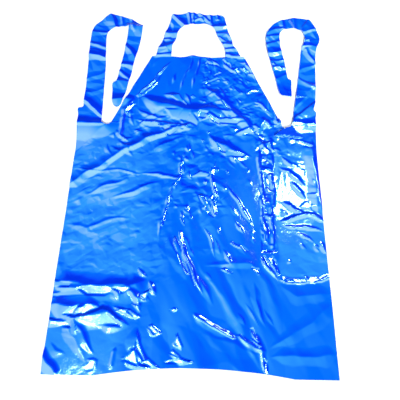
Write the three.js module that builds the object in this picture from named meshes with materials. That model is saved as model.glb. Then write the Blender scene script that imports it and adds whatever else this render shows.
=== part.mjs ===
// Butcher's apron, die-cut in one layer from a single sheet of blue plastic film, laid flat.
// Millimetres, +Z up. +Y runs from the hem to the neck, +X to the wearer's left as it lies face up.
// Outlines are drawn in garment coordinates: x from the apron's centre line, s up from the hem line.
// The film's regions are separate solids, because the film folds along the lines between them.
import * as THREE from "three";

// ---- driving dimensions -------------------------------------------------------------------------
const LOFT = 6; // height that the wrinkled film takes up, lying loose
const GAP = 0.3; // clearance between two regions along a fold line

const HALF_WIDTH = 400; // half the skirt's width at the hem and at the shoulders
const HEM_FOLD_DRAW = 3; // how far the skirt's sides are drawn in at the hem fold
const SIDE_DRAW = 9; // the same where they are narrowest
const WAIST_DRAW = 5; // the same at the waist
const NARROWEST = 650; // height where the sides are narrowest
const HEM_CORNER = -8; // the hem's corners, below the hem line
const HEM_RISE = 22; // how far the middle of the hem bows up above its corners
const HEM_BOW_LEFT = -260; // where the hem starts to bow up
const HEM_BOW_RIGHT = 280; // where it comes down again
const HEM_FOLD = 230; // fold line across the lower skirt
const WAIST = 745; // fold line across the top of the skirt
const SHOULDER = 799; // top of the skirt's side corners
const BIB_TOP = 1014; // fold line across the top of the bib
const NECK_TOP = 1209; // highest point of the neck loop

const SLOT_X = 298.5; // middle of the rounded slot between the bib and a tie
const SLOT_S = 755.5; // centre of the slot's round end
const SLOT_R = 17.5; // radius of the slot's round end
const SLOT_EASE = 1; // how much further the skirt reaches in under the slot's round end
const SLOT_PULL = 25; // how far below the slot's centre the round end's curve is pulled
const BIB_TOP_HALF = 165; // half the bib's width at its top
const BIB_FOOT_HALF = 281; // half the bib's width where it leaves the slot's round end

const LEFT_ROOT = 758; // height of the left tie's diagonal fold at its inner edge
const LEFT_INNER = -316; // the left tie's inner edge there
const LEFT_WIDTH = 68; // the left tie's width there; its fold climbs at 45 degrees across it
const LEFT_STEP = 806; // height of the die's step beside the left shoulder
const LEFT_RETURN = 1143; // fold line across the top of the left tie's end
const RIGHT_ROOT = 760; // height of the right tie's diagonal fold at its inner edge
const RIGHT_INNER = 319; // the right tie's inner edge there
const RIGHT_WIDTH = 83; // the right tie's width there; its fold climbs at 45 degrees across it
const RIGHT_STEP = 812; // height of the die's step beside the right shoulder
const RIGHT_STEP_X = 393; // and its distance from the centre line
const RIGHT_RETURN = 1106; // fold line across the top of the right tie's end

const FAR_LEFT = -400; // the assembly's outermost points, which set the origin
const FAR_RIGHT = 438;
const ORIGIN_X = (FAR_LEFT + FAR_RIGHT) / 2;
const ORIGIN_S = (HEM_CORNER + NECK_TOP) / 2;

const FILM_BLUE = 0x0a62f0;
const CURVE_STEPS = 6; // straight steps in each curved stretch of an outline
const OVERSHOOT = 0.2; // how far a smooth edge bulges beyond its outermost point

// ---- tools --------------------------------------------------------------------------------------
const half = GAP / 2;
const slotRise = WAIST - SLOT_S;
const slotHalf = Math.sqrt(SLOT_R ** 2 - slotRise ** 2); // half the slot's width at the waist line

function outline(x, s) {
  const shape = new THREE.Shape();
  shape.moveTo(x, s);
  return shape;
}

// A smooth edge through points chosen along it, from the outline's current point.
function edge(shape, ...points) {
  shape.splineThru(points.map(([x, s]) => new THREE.Vector2(x, s)));
  return shape;
}

const parts = new THREE.Group();

function region(name, shape) {
  const geometry = new THREE.ExtrudeGeometry(shape, {
    depth: LOFT,
    bevelEnabled: false,
    curveSegments: CURVE_STEPS,
  });
  const film = new THREE.MeshStandardMaterial({ color: FILM_BLUE, roughness: 0.2, metalness: 0 });
  const mesh = new THREE.Mesh(geometry, film);
  mesh.name = name;
  mesh.position.set(-ORIGIN_X, -ORIGIN_S, 0);
  parts.add(mesh);
}

// ---- skirt --------------------------------------------------------------------------------------
const foldHalf = HALF_WIDTH - HEM_FOLD_DRAW; // half the skirt's width at the hem fold
const waistHalf = HALF_WIDTH - WAIST_DRAW;

function lowerSkirt() {
  const top = HEM_FOLD - half;
  const shape = outline(-foldHalf, top);
  shape.lineTo(-HALF_WIDTH, HEM_CORNER);
  shape.lineTo(HEM_BOW_LEFT, HEM_CORNER);
  shape.quadraticCurveTo(0, HEM_CORNER + 2 * HEM_RISE, HEM_BOW_RIGHT, HEM_CORNER);
  shape.lineTo(HALF_WIDTH, HEM_CORNER);
  shape.lineTo(foldHalf, top);
  region("lower_skirt", shape);
}

function upperSkirt() {
  const bottom = HEM_FOLD + half;
  const top = WAIST - half;
  const middle = (bottom + top) / 2;
  const narrow = HALF_WIDTH - SIDE_DRAW;
  const notchHalf = slotHalf - SLOT_EASE;
  const pulled = SLOT_S - SLOT_PULL;
  const shape = outline(-foldHalf, bottom);
  shape.lineTo(foldHalf, bottom);
  shape.quadraticCurveTo(narrow, middle, narrow, NARROWEST);
  shape.lineTo(waistHalf, top);
  shape.lineTo(SLOT_X + notchHalf, top);
  shape.quadraticCurveTo(SLOT_X, pulled, SLOT_X - notchHalf, top);
  shape.lineTo(-SLOT_X + notchHalf, top);
  shape.quadraticCurveTo(-SLOT_X, pulled, -SLOT_X - notchHalf, top);
  shape.lineTo(-waistHalf, top);
  shape.lineTo(-narrow, NARROWEST);
  shape.quadraticCurveTo(-narrow, middle, -foldHalf, bottom);
  region("upper_skirt", shape);
}

// ---- bib ----------------------------------------------------------------------------------------
function bib() {
  const foot = SLOT_X - slotHalf;
  const shape = outline(-foot, WAIST + half);
  shape.lineTo(foot, WAIST + half);
  shape.lineTo(BIB_FOOT_HALF, SLOT_S);
  shape.lineTo(BIB_TOP_HALF, BIB_TOP - half);
  shape.lineTo(-BIB_TOP_HALF, BIB_TOP - half);
  shape.lineTo(-BIB_FOOT_HALF, SLOT_S);
  region("bib", shape);
}

// ---- neck loop: two legs that lean in from the bib's top corners, and the crown across them -----
function neckLoop() {
  const foot = BIB_TOP + half;

  const left = outline(-96, foot);
  edge(left, [-94, 1055], [-83, 1085], [-76, 1118], [-66.5, 1138]);
  left.lineTo(-104, 1172);
  edge(left, [-122, 1110], [-131, 1074], [-142, 1048], [-150, foot]);
  region("neck_loop_left", left);

  const right = outline(96, foot);
  right.lineTo(150, foot);
  edge(right, [138, 1046], [123, 1068], [121, 1087], [110, 1116], [100, 1156]);
  right.lineTo(57, 1136);
  edge(right, [66, 1110], [80, 1080], [92, 1056], [96, foot]);
  region("neck_loop_right", right);

  const crown = outline(-66.5 + GAP, 1138 + GAP);
  edge(crown, [-50, 1149], [-26, 1157], [0, 1159], [22, 1162], [42, 1151], [57, 1136 + GAP]);
  crown.lineTo(100, 1156 + GAP);
  crown.lineTo(88, 1197);
  edge(crown, [40, 1200], [0, 1206], [-34, NECK_TOP], [-72, 1199], [-99, 1193]);
  crown.lineTo(-104 + GAP, 1172 + GAP);
  region("neck_loop_crown", crown);
}

// ---- left tie: up from the shoulder, over, and back down beside the bib -------------------------
function leftTie() {
  const outer = LEFT_INNER - LEFT_WIDTH;
  const foldTop = LEFT_ROOT + LEFT_WIDTH;

  const root = outline(-waistHalf, WAIST + half);
  root.lineTo(-SLOT_X - slotHalf, WAIST + half);
  root.lineTo(LEFT_INNER, SLOT_S);
  root.lineTo(LEFT_INNER, LEFT_ROOT - half);
  root.lineTo(outer, foldTop - half);
  root.lineTo(outer, LEFT_STEP);
  root.lineTo(-HALF_WIDTH, SHOULDER);
  region("left_tie_root", root);

  const riser = outline(LEFT_INNER, LEFT_ROOT + half);
  edge(riser, [-320, 860], [-323, 950], [-328, 1020], [-333, 1085]);
  riser.lineTo(-389, 1100);
  edge(riser, [-387, 1000], [-384, 900], [outer, foldTop + half]);
  region("left_tie_riser", riser);

  const corner = outline(-333, 1085 + GAP);
  edge(corner, [-331, 1108], [-321, 1125], [-304, 1134]);
  corner.lineTo(-325, 1194);
  edge(corner, [-340, 1189], [-360, 1163], [-382, 1139], [-389, 1100 + GAP]);
  region("left_tie_corner", corner);

  const crown = outline(-304 + GAP, 1134);
  edge(crown, [-283, 1138], [-256, LEFT_RETURN + half]);
  crown.lineTo(-204, LEFT_RETURN + half);
  edge(crown, [-235, 1165], [-263, 1180], [-285, 1185], [-302, 1183], [-325 + GAP, 1194]);
  region("left_tie_crown", crown);

  const end = outline(-256, LEFT_RETURN - half);
  edge(end, [-259, 1090], [-263, 1040], [-270, 980], [-281, 904]);
  end.lineTo(-293, 896);
  edge(end, [-290, 850], [-285, 818], [-270, 805], [-259, 814], [-244, 870]);
  edge(end, [-231, 945], [-223, 1000], [-210, 1075], [-205, LEFT_RETURN - half]);
  region("left_tie_end", end);
}

// ---- right tie: the same cut, splayed outwards as it lies ---------------------------------------
function rightTie() {
  const outer = RIGHT_INNER + RIGHT_WIDTH;
  const foldTop = RIGHT_ROOT + RIGHT_WIDTH;

  const root = outline(SLOT_X + slotHalf, WAIST + half);
  root.lineTo(waistHalf, WAIST + half);
  root.lineTo(HALF_WIDTH, SHOULDER);
  root.lineTo(RIGHT_STEP_X, RIGHT_STEP);
  root.lineTo(outer, foldTop - half);
  root.lineTo(RIGHT_INNER, RIGHT_ROOT - half);
  region("right_tie_root", root);

  const riser = outline(RIGHT_INNER, RIGHT_ROOT + half);
  riser.lineTo(outer, foldTop + half);
  edge(riser, [410, 940], [416, 1010], [423, 1060]);
  riser.lineTo(370, 1060);
  edge(riser, [360, 1000], [347, 920], [333, 840], [RIGHT_INNER, RIGHT_ROOT + half]);
  region("right_tie_riser", riser);

  const corner = outline(370, 1060 + GAP);
  corner.lineTo(423, 1060 + GAP);
  edge(corner, [435, 1088], [FAR_RIGHT - OVERSHOOT, 1104], [430, 1136], [413, 1180], [402, 1187]);
  corner.lineTo(371, 1138);
  edge(corner, [381, 1124], [384, 1104], [380, 1088], [370, 1060 + GAP]);
  region("right_tie_corner", corner);

  const crown = outline(371 - GAP, 1138);
  crown.lineTo(402 - GAP, 1187);
  edge(crown, [370, 1185], [345, 1193], [318, 1191], [283, 1172], [256, 1140]);
  edge(crown, [246, 1122], [243, RIGHT_RETURN + half]);
  crown.lineTo(292, RIGHT_RETURN + half);
  edge(crown, [296, 1126], [310, 1140], [345, 1147], [371 - GAP, 1138]);
  region("right_tie_crown", crown);

  const end = outline(243, RIGHT_RETURN - half);
  edge(end, [243, 1076], [249, 1038], [264, 960], [274, 906], [284, 864]);
  end.lineTo(290, 860);
  end.lineTo(322, 854);
  end.lineTo(324, 926);
  end.lineTo(316, 926);
  edge(end, [309, 968], [305, 1005], [297, 1042], [293, 1076], [292, RIGHT_RETURN - half]);
  region("right_tie_end", end);
}

lowerSkirt();
upperSkirt();
bib();
neckLoop();
leftTie();
rightTie();

export default parts;
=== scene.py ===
# %% [markdown]
# # A butcher's apron in glossy plastic film
# The whole apron is cut from one sheet of blue film, 0.2 mm thick. Nothing is sewn on: the neck loop
# and both ties belong to the same sheet as the skirt. It has been folded into a packet, and now lies
# face up on a table, so its shape is an outline, a set of fold lines and a great many creases.
#
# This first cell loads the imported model, which gives the place and size of everything that follows.

# %% Load the frame
import math

import bpy
import numpy as np
from mathutils import Matrix, Vector
from mathutils.geometry import delaunay_2d_cdt


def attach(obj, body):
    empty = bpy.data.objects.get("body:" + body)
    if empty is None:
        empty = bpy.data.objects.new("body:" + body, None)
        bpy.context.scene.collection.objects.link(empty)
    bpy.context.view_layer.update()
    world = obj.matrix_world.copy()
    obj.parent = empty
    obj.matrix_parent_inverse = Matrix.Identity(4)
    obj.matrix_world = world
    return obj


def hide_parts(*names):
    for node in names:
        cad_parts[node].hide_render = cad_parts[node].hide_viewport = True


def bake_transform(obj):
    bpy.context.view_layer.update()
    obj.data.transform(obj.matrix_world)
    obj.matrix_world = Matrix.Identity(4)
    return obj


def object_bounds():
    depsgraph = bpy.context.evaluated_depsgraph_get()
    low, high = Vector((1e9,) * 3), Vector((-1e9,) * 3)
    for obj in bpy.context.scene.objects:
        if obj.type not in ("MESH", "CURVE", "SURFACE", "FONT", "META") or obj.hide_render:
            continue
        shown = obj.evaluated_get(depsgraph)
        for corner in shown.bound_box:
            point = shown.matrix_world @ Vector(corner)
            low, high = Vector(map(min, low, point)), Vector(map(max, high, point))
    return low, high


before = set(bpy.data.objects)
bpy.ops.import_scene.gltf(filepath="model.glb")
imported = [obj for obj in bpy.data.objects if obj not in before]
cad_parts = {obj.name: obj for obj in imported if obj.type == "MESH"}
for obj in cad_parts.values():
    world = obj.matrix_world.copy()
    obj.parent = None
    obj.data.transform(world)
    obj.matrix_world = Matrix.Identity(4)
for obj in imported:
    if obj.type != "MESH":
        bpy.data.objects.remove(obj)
cad_low, cad_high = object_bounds()

# %% [markdown]
# ## Garment coordinates
# A pattern cutter measures an apron from its centre line and up from its hem. The outline, the creases
# and the folds are all given that way here, in millimetres, and one function takes them to the frame.
# The frame's box says where the centre line and the hem line are, so nothing is placed by eye.

# %% Garment coordinates
MM = 0.001
FAR_LEFT = -400.0  # x of the apron's outermost point, at the left shoulder
HEM_CORNER = -8.0  # s of the hem's corners, its lowest points
ORIGIN_X = FAR_LEFT - cad_low[0] / MM
ORIGIN_S = HEM_CORNER - cad_low[1] / MM


def place(x, s, z=0.0):
    """Garment millimetres to frame metres: x from the centre line, s up from the hem, z off the table."""
    return Vector(((x - ORIGIN_X) * MM, (s - ORIGIN_S) * MM, z * MM))


print("hem to neck, mm:", round((cad_high[1] - cad_low[1]) / MM))

# %% [markdown]
# ## The camera
# Someone who lays an apron out on a table stands at its hem and leans out over it, so the skirt is near
# the eye and the neck loop is far away. The camera stands there too, almost a metre up. It looks down
# steeply through a wide lens, and it leans over by about a degree.

# %% Camera
CAMERA_HEIGHT = 955.0  # mm, and so are the next two
CAMERA_UP_FROM_HEM = 211.0
CAMERA_RIGHT = 16.5
LOOK_DOWN = math.radians(73.93)
LENS_ANGLE = math.radians(64.0)
LEAN = math.radians(1.2)

EYE = place(CAMERA_RIGHT, CAMERA_UP_FROM_HEM, CAMERA_HEIGHT)
camera_data = bpy.data.cameras.new("camera")
camera_data.angle = LENS_ANGLE
camera_data.clip_start = 0.01
camera = bpy.data.objects.new("camera", camera_data)
bpy.context.collection.objects.link(camera)
bpy.context.scene.camera = camera
camera.matrix_world = (
    Matrix.Translation(EYE)
    @ Matrix.Rotation(math.pi / 2 - LOOK_DOWN, 4, "X")
    @ Matrix.Rotation(LEAN, 4, "Z")
)
print("camera at", [round(v, 3) for v in camera.matrix_world.translation])

# %% [markdown]
# ## Creases
# Film doesn't drape like cloth: it bends along sharp straight lines and stays nearly flat between them.
# So the relief is a sum of creases. Each one is a line with a crest height, and two flanks that run
# down to the table at their own widths, so a crease can be steep on one side and gentle on the other.
# A crease is written as its points, its height, the widths of its far flank, which faces the neck, and
# of its near flank, which faces the hem, and the share of its length over which each end fades out.
# Lines run to the right, or down where upright.

# %% One crease
CREST_ROUND = 1.0  # mm, how far the film rounds over at a crest
FAR_HANG = 1.6  # how far a flank hangs in below a straight slope: 1 is straight
NEAR_HANG = 1.2
END_WIDTH = 0.2  # the share of its width that a flank keeps at a faded end


def ramp(value):
    """The smooth step from 0 to 1."""
    value = np.clip(value, 0.0, 1.0)
    return value * value * (3.0 - 2.0 * value)


def nearest(px, ps, points):
    """Distance from a line of points, the side it is on, and how far along it is, for each place."""
    line = np.array(points, float)
    steps = line[1:] - line[:-1]
    lengths = np.hypot(steps[:, 0], steps[:, 1])
    starts = np.concatenate(([0.0], np.cumsum(lengths)))
    best = np.full(px.shape, 1e9)
    side = np.zeros_like(px)
    along = np.zeros_like(px)
    for (a_x, a_s), (dx, ds), length, start in zip(line[:-1], steps, lengths, starts):
        t = ((px - a_x) * dx + (ps - a_s) * ds) / length**2
        clipped = np.clip(t, 0.0, 1.0)
        away = np.hypot(px - a_x - clipped * dx, ps - a_s - clipped * ds)
        nearer = away < best
        best = np.where(nearer, away, best)
        side = np.where(nearer, dx * (ps - a_s) - ds * (px - a_x), side)
        along = np.where(nearer, start + t * length, along)
    return best, side, along / starts[-1]


def crease(x, s, points, height, far, near, fade):
    """The height that one crease adds. A flank's width may be a pair, for its start and its end."""
    line = np.array(points, float)
    far, near = np.broadcast_to(far, 2), np.broadcast_to(near, 2)
    reach = max(*far, *near) + 2.0 * CREST_ROUND
    box = (x > line[:, 0].min() - reach) & (x < line[:, 0].max() + reach)
    box &= (s > line[:, 1].min() - reach) & (s < line[:, 1].max() + reach)
    out = np.zeros_like(x)
    if not box.any():
        return out
    away, side, along = nearest(x[box], s[box], points)
    ends = np.ones_like(along)
    if fade > 0.0:
        ends = ramp(along / fade) * ramp((1.0 - along) / fade)
    far_here = far[0] + (far[1] - far[0]) * along
    near_here = near[0] + (near[1] - near[0]) * along
    width = np.where(side > 0.0, far_here, near_here) * (END_WIDTH + (1.0 - END_WIDTH) * ends)
    hang = np.where(side > 0.0, FAR_HANG, NEAR_HANG)
    down = (np.sqrt(away**2 + CREST_ROUND**2) - CREST_ROUND) / width
    out[box] = height * ends * np.clip(1.0 - down, 0.0, None) ** hang
    return out


sample = crease(np.zeros(2), np.array([0.0, 10.0]), [(-50, 0), (50, 0)], 5.0, 20, 20, 0.4)
print("a crease of 5 mm, at its crest and 10 mm off it, mm:", sample.round(2).tolist())

# %% [markdown]
# ## Where the creases are
# The large ones come from the packet: a fold across the bib, a long drag line down to the left side,
# the square marks of the packet on the right, and stars where folds cross. They are chosen one by one,
# because they carry the look of the piece. Points are in garment millimetres.

# %% Large creases of the skirt
SKIRT_CREASES = [
    # the two packing folds that run in from the left side, and the star where they end
    ([(-410, 234), (-300, 226), (-190, 224), (-128, 246)], 6.5, (40, 26), 46, 0.15),
    ([(-410, 216), (-340, 213), (-290, 222), (-260, 222)], 2.2, 9, 14, 0.34),
    ([(-410, 168), (-330, 168), (-258, 174)], 6.0, 30, 34, 0.28),
    ([(-200, 225), (-165, 205), (-150, 170), (-146, 148)], 4.0, 14, 12, 0.42),
    ([(-128, 246), (-112, 215), (-100, 200)], 4.0, 12, 9, 0.42),
    ([(-160, 272), (-128, 250)], 3.5, 9, 10, 0.48),
    ([(-365, 147), (-322, 136), (-252, 155), (-236, 153), (-166, 114)], 6.5, 12, 46, 0.28),
    ([(-225, 168), (-185, 160), (-160, 142), (-146, 143)], 3.6, 9, 10, 0.42),
    ([(-232, 212), (-214, 206), (-205, 188)], 3.0, 9, 8, 0.42),
    ([(-180, 205), (-140, 190), (-128, 182)], 3.6, 14, 14, 0.42),
    # the lower left corner
    ([(-330, 138), (-300, 95), (-258, 45)], 3.4, 13, 26, 0.42),
    ([(-360, 150), (-330, 95), (-280, 20)], 2.2, 30, 26, 0.42),
    ([(-412, 62), (-385, 25), (-352, -14)], 5.0, 15, 26, 0.1),
    ([(-285, 34), (-262, 28), (-256, 8)], 3.0, 9, 12, 0.42),
    ([(-148, 112), (-150, 70), (-118, 26), (-95, 14)], 5.0, 10, 32, 0.28),
    ([(-190, 34), (-150, 20), (-100, 12)], 3.2, 12, 9, 0.34),
    ([(-203, 60), (-212, 4)], 1.8, 8, 6, 0.22),
    # the middle of the skirt
    ([(-38, 645), (-52, 585), (-60, 552), (-84, 480), (-101, 405), (-104, 352)], 3.2, 6, 7, 0.2),
    ([(-46, 388), (-22, 318), (2, 255), (28, 200)], 5.5, 11, 5, 0.28),
    ([(-42, 445), (-34, 412)], 3.0, 6, 7, 0.5),
    ([(-108, 362), (-72, 366), (-50, 320), (-22, 272), (10, 215)], 2.6, 26, 30, 0.42),
    ([(5, 275), (35, 215), (60, 170)], 2.4, 14, 18, 0.48),
    ([(60, 618), (55, 560), (61, 500), (52, 485), (64, 436)], 4.0, 9, 5, 0.28),
    ([(98, 545), (128, 492), (160, 440), (177, 400)], 2.6, 8, 9, 0.34),
    ([(122, 425), (152, 378)], 3.0, 7, 6, 0.48),
    ([(30, 405), (46, 366), (66, 310)], 2.2, 7, 8, 0.48),
    ([(74, 402), (78, 380)], 2.4, 5, 5, 0.5),
    ([(104, 358), (160, 331)], 2.2, 6, 6, 0.42),
    ([(84, 338), (112, 286)], 3.2, 8, 8, 0.48),
    ([(30, 290), (100, 292), (170, 294), (194, 262)], 1.8, 18, 14, 0.42),
    ([(2, 152), (50, 128), (122, 96)], 2.6, 8, 18, 0.22),
    ([(118, 98), (150, 88), (176, 74), (208, 60)], 2.4, 7, 12, 0.3),
    ([(15, 112), (80, 88), (150, 62), (200, 50)], 1.4, 30, 30, 0.42),
    ([(158, 122), (182, 88), (198, 58), (208, -12)], 3.0, 10, 8, 0.28),
    ([(-46, 98), (-26, 58)], 3.4, 7, 14, 0.5),
    # the lower right, where the film lies almost smooth
    ([(212, 66), (300, 112), (404, 192)], 1.5, (14, 34), (14, 34), 0.2),
    ([(216, 44), (300, 52), (404, 50)], 1.7, (14, 30), (16, 34), 0.2),
    ([(176, 250), (184, 190), (206, 120)], 2.0, 12, 14, 0.42),
    ([(250, 236), (300, 205), (404, 214)], 1.4, 30, 26, 0.34),
    ([(-126, 116), (-104, 102), (-72, 104)], 3.0, 7, 8, 0.48),
    ([(-64, 48), (-30, 34), (12, 33)], 3.2, 8, 8, 0.48),
    # the packet's mark on the right: an upright band, and the lines across it
    ([(203, 668), (207, 560), (211, 440), (216, 352)], 4.6, 8, 7, 0.1),
    ([(244, 650), (243, 520), (238, 420), (233, 330)], 4.2, 7, 9, 0.1),
    ([(198, 324), (228, 272), (252, 240)], 4.6, 10, 8, 0.34),
    ([(225, 318), (240, 285), (252, 246)], 3.4, 8, 7, 0.34),
    ([(200, 590), (246, 592)], 3.6, 9, 13, 0.22),
    ([(212, 442), (242, 428)], 3.4, 8, 10, 0.34),
    ([(248, 246), (330, 248), (368, 246), (406, 266)], 3.2, 14, 5, 0.1),
    ([(262, 424), (300, 437), (345, 448), (404, 424)], 5.6, 10, 11, 0.15),
    ([(262, 416), (330, 404), (392, 396)], 3.2, 7, 8, 0.28),
    ([(300, 388), (350, 372), (368, 362)], 2.6, 7, 8, 0.42),
    ([(262, 606), (300, 578), (348, 536)], 4.2, 14, 13, 0.34),
    ([(300, 556), (326, 520), (352, 498)], 4.0, 12, 12, 0.34),
    ([(262, 486), (300, 466), (346, 444)], 4.0, 12, 11, 0.34),
    ([(272, 640), (310, 596)], 3.0, 9, 8, 0.42),
    ([(376, 700), (380, 610), (386, 500), (402, 438)], 5.4, 13, 32, 0.15),
    ([(294, 702), (340, 692), (386, 672)], 4.2, 9, 11, 0.34),
    ([(378, 372), (400, 326)], 3.2, 8, 12, 0.42),
    # the drag line from the middle down to the left side, and its echoes below
    ([(-412, 514), (-332, 576), (-244, 640), (-138, 700), (-70, 730)], 6.5, 26, (20, 12), 0.1),
    ([(-150, 646), (-100, 676), (-44, 700)], 3.4, 13, 22, 0.42),
    ([(-398, 578), (-260, 577), (-150, 570)], 0.8, 5, 7, 0.2),
    ([(-340, 492), (-280, 522), (-205, 556)], 2.8, 12, 16, 0.42),
    ([(-262, 486), (-180, 516), (-95, 546)], 2.8, 12, 16, 0.42),
    ([(-398, 398), (-320, 392), (-262, 420), (-180, 424)], 1.5, 9, 18, 0.34),
    ([(-180, 577), (-100, 560), (-20, 560)], 2.6, 9, 8, 0.48),
    ([(36, 716), (75, 678), (125, 650), (186, 632)], 6.5, 22, 32, 0.34),
    ([(-130, 724), (-90, 731), (-20, 746), (14, 758)], 4.6, 10, 20, 0.34),
]
print(len(SKIRT_CREASES), "large creases in the skirt")

# %% [markdown]
# The bib carries one deep fold across its foot and a second that climbs to its right. Above them it is
# nearly flat on the left, with fine upright lines, and finely crushed on the right.

# %% Large creases of the bib and of the waist
BIB_CREASES = [
    ([(-196, 852), (-130, 823), (-60, 805), (30, 799), (122, 800)], 9.0, 32, 44, 0.22),
    ([(24, 896), (72, 852), (118, 803), (162, 758), (200, 708)], 7.5, 24, 30, 0.22),
    ([(-44, 862), (-24, 822)], 3.0, 8, 14, 0.48),
    ([(-120, 862), (-62, 858)], 3.6, 10, 20, 0.48),
    ([(-214, 842), (-176, 878), (-140, 934), (-92, 990)], 4.0, 6, 6, 0.22),
    ([(-196, 836), (-160, 880), (-124, 940)], 3.2, 6, 6, 0.34),
    ([(-92, 898), (-72, 950)], 2.8, 7, 7, 0.48),
    ([(-18, 1020), (-44, 930), (-64, 862)], 2.8, 6, 5, 0.28),
    ([(12, 1020), (-6, 950), (-17, 878)], 3.0, 6, 5, 0.24),
    ([(46, 962), (18, 886)], 2.4, 6, 6, 0.42),
    ([(64, 900), (88, 862), (98, 842)], 3.0, 7, 9, 0.42),
    ([(160, 866), (198, 886), (226, 882)], 3.6, 7, 8, 0.42),
    ([(76, 1008), (124, 962), (162, 938)], 2.6, 9, 8, 0.42),
    ([(150, 1000), (186, 960), (204, 916)], 2.4, 8, 8, 0.42),
    ([(24, 985), (52, 996), (84, 978)], 2.8, 8, 9, 0.42),
    ([(186, 838), (214, 822), (246, 796)], 2.8, 9, 9, 0.42),
    ([(262, 800), (262, 766), (274, 752)], 3.8, 9, 9, 0.42),
    ([(-218, 838), (-240, 794), (-244, 742), (-252, 704), (-220, 680)], 5.4, 9, 11, 0.22),
    ([(-206, 768), (-150, 748), (-98, 744), (-28, 752)], 4.4, 9, 14, 0.34),
    ([(-205, 800), (-160, 776), (-120, 762)], 3.0, 9, 12, 0.42),
    ([(10, 752), (40, 780), (76, 760), (152, 772), (176, 760)], 4.6, 9, 16, 0.28),
    ([(194, 714), (226, 764), (250, 738)], 5.6, 16, 14, 0.28),
    ([(118, 706), (160, 726), (192, 742)], 4.0, 9, 13, 0.42),
    ([(196, 712), (218, 666), (246, 640)], 4.2, 12, 11, 0.42),
    ([(190, 672), (240, 682), (248, 640)], 4.6, 9, 14, 0.42),
]
print(len(BIB_CREASES), "large creases in the bib")

# %% [markdown]
# The straps were wound up in the packet, so they are creased straight or slanting across, every few
# centimetres. Each of those is a crest with a dull far flank and a bright near one.

# %% Creases across the straps
STRAP_CREASES = [
    # left tie: root, riser, corner, crown and end
    ([(-406, 741), (-312, 744)], 8.0, 30, 54, 0.0),
    ([(-394, 836), (-308, 764)], 4.6, 30, (12, 6), 0.0),
    ([(-394, 1012), (-316, 1002)], 4.8, (40, 22), (26, 10), 0.0),
    ([(-392, 1068), (-322, 1036)], 2.4, (8, 26), 10, 0.0),
    ([(-396, 912), (-314, 948)], 1.8, (30, 12), (8, 26), 0.0),
    ([(-394, 856), (-310, 872)], 1.6, 20, (26, 10), 0.0),
    ([(-390, 1118), (-328, 1110)], 2.0, 14, (22, 8), 0.0),
    ([(-330, 1200), (-300, 1126)], 5.0, 12, (44, 20), 0.0),
    ([(-288, 1192), (-280, 1130)], 2.0, 12, 10, 0.0),
    ([(-250, 1182), (-244, 1136)], 2.6, 18, 9, 0.0),
    ([(-264, 1143), (-198, 1141)], 5.6, 14, 42, 0.0),
    ([(-268, 1078), (-214, 986)], 4.4, (8, 34), (6, 34), 0.0),
    ([(-276, 976), (-216, 966)], 4.0, 16, (6, 18), 0.0),
    ([(-284, 956), (-226, 908)], 3.4, (6, 20), (16, 5), 0.0),
    ([(-298, 912), (-226, 904)], 4.2, 12, (34, 26), 0.0),
    ([(-298, 838), (-240, 836)], 5.0, 26, 26, 0.0),
    # right tie: root, riser, corner, crown and end
    ([(306, 757), (406, 757)], 6.6, (6, 34), 30, 0.0),
    ([(314, 758), (412, 850)], 5.4, 8, (4, 50), 0.0),
    ([(312, 790), (404, 900)], 2.4, (10, 34), 8, 0.0),
    ([(350, 936), (412, 890)], 3.0, (6, 14), (20, 10), 0.0),
    ([(346, 968), (424, 1000)], 2.4, (26, 10), 12, 0.0),
    ([(360, 1064), (436, 1070)], 5.0, 30, (10, 46), 0.0),
    ([(384, 1058), (424, 990)], 2.6, (12, 5), (22, 8), 0.1),
    ([(380, 1132), (444, 1148)], 2.8, (14, 30), 10, 0.0),
    ([(370, 1134), (410, 1192)], 4.4, 10, (10, 44), 0.0),
    ([(352, 1196), (344, 1140)], 2.6, 14, 18, 0.0),
    ([(300, 1192), (312, 1134)], 3.0, 12, (20, 8), 0.0),
    ([(246, 1126), (306, 1142)], 3.6, (34, 12), (34, 12), 0.0),
    ([(240, 1104), (300, 1112)], 3.2, (7, 12), (26, 14), 0.0),
    ([(240, 1066), (300, 1092)], 3.4, (8, 14), (10, 26), 0.0),
    ([(242, 1034), (304, 1048)], 3.8, 26, (10, 14), 0.0),
    ([(250, 1004), (310, 1012)], 2.2, 8, (16, 10), 0.0),
    ([(256, 980), (312, 972)], 3.6, 8, (18, 8), 0.0),
    ([(266, 1000), (298, 962)], 3.0, 6, 9, 0.1),
    ([(262, 926), (318, 944)], 1.8, 14, (26, 10), 0.0),
    ([(268, 864), (332, 858)], 5.0, 44, 5, 0.0),
    # neck loop
    ([(-156, 1050), (-90, 1062)], 6.2, 26, 26, 0.0),
    ([(-150, 1022), (-90, 1026)], 2.4, 8, 12, 0.0),
    ([(-134, 1114), (-66, 1118)], 5.6, 24, 24, 0.0),
    ([(-130, 1086), (-76, 1090)], 2.4, 8, 10, 0.0),
    ([(-100, 1196), (-44, 1140)], 4.8, 30, 12, 0.0),
    ([(-38, 1214), (-28, 1150)], 4.0, 8, 10, 0.0),
    ([(-18, 1210), (-20, 1152)], 3.4, 7, 8, 0.0),
    ([(-26, 1172), (10, 1186), (20, 1166)], 3.6, 8, 9, 0.2),
    ([(2, 1210), (36, 1166)], 3.6, 9, 8, 0.0),
    ([(34, 1206), (46, 1160)], 3.6, 8, 9, 0.0),
    ([(62, 1204), (68, 1176)], 2.8, 9, 8, 0.1),
    ([(50, 1144), (106, 1158)], 5.6, 24, 14, 0.0),
    ([(58, 1120), (114, 1116)], 2.6, 8, 16, 0.0),
    ([(70, 1104), (104, 1076)], 3.6, 7, 8, 0.1),
    ([(84, 1066), (130, 1068)], 5.0, 18, 12, 0.0),
    ([(92, 1046), (144, 1056)], 3.6, 8, 10, 0.0),
    ([(90, 1024), (158, 1022)], 3.6, 12, 10, 0.0),
]
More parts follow.
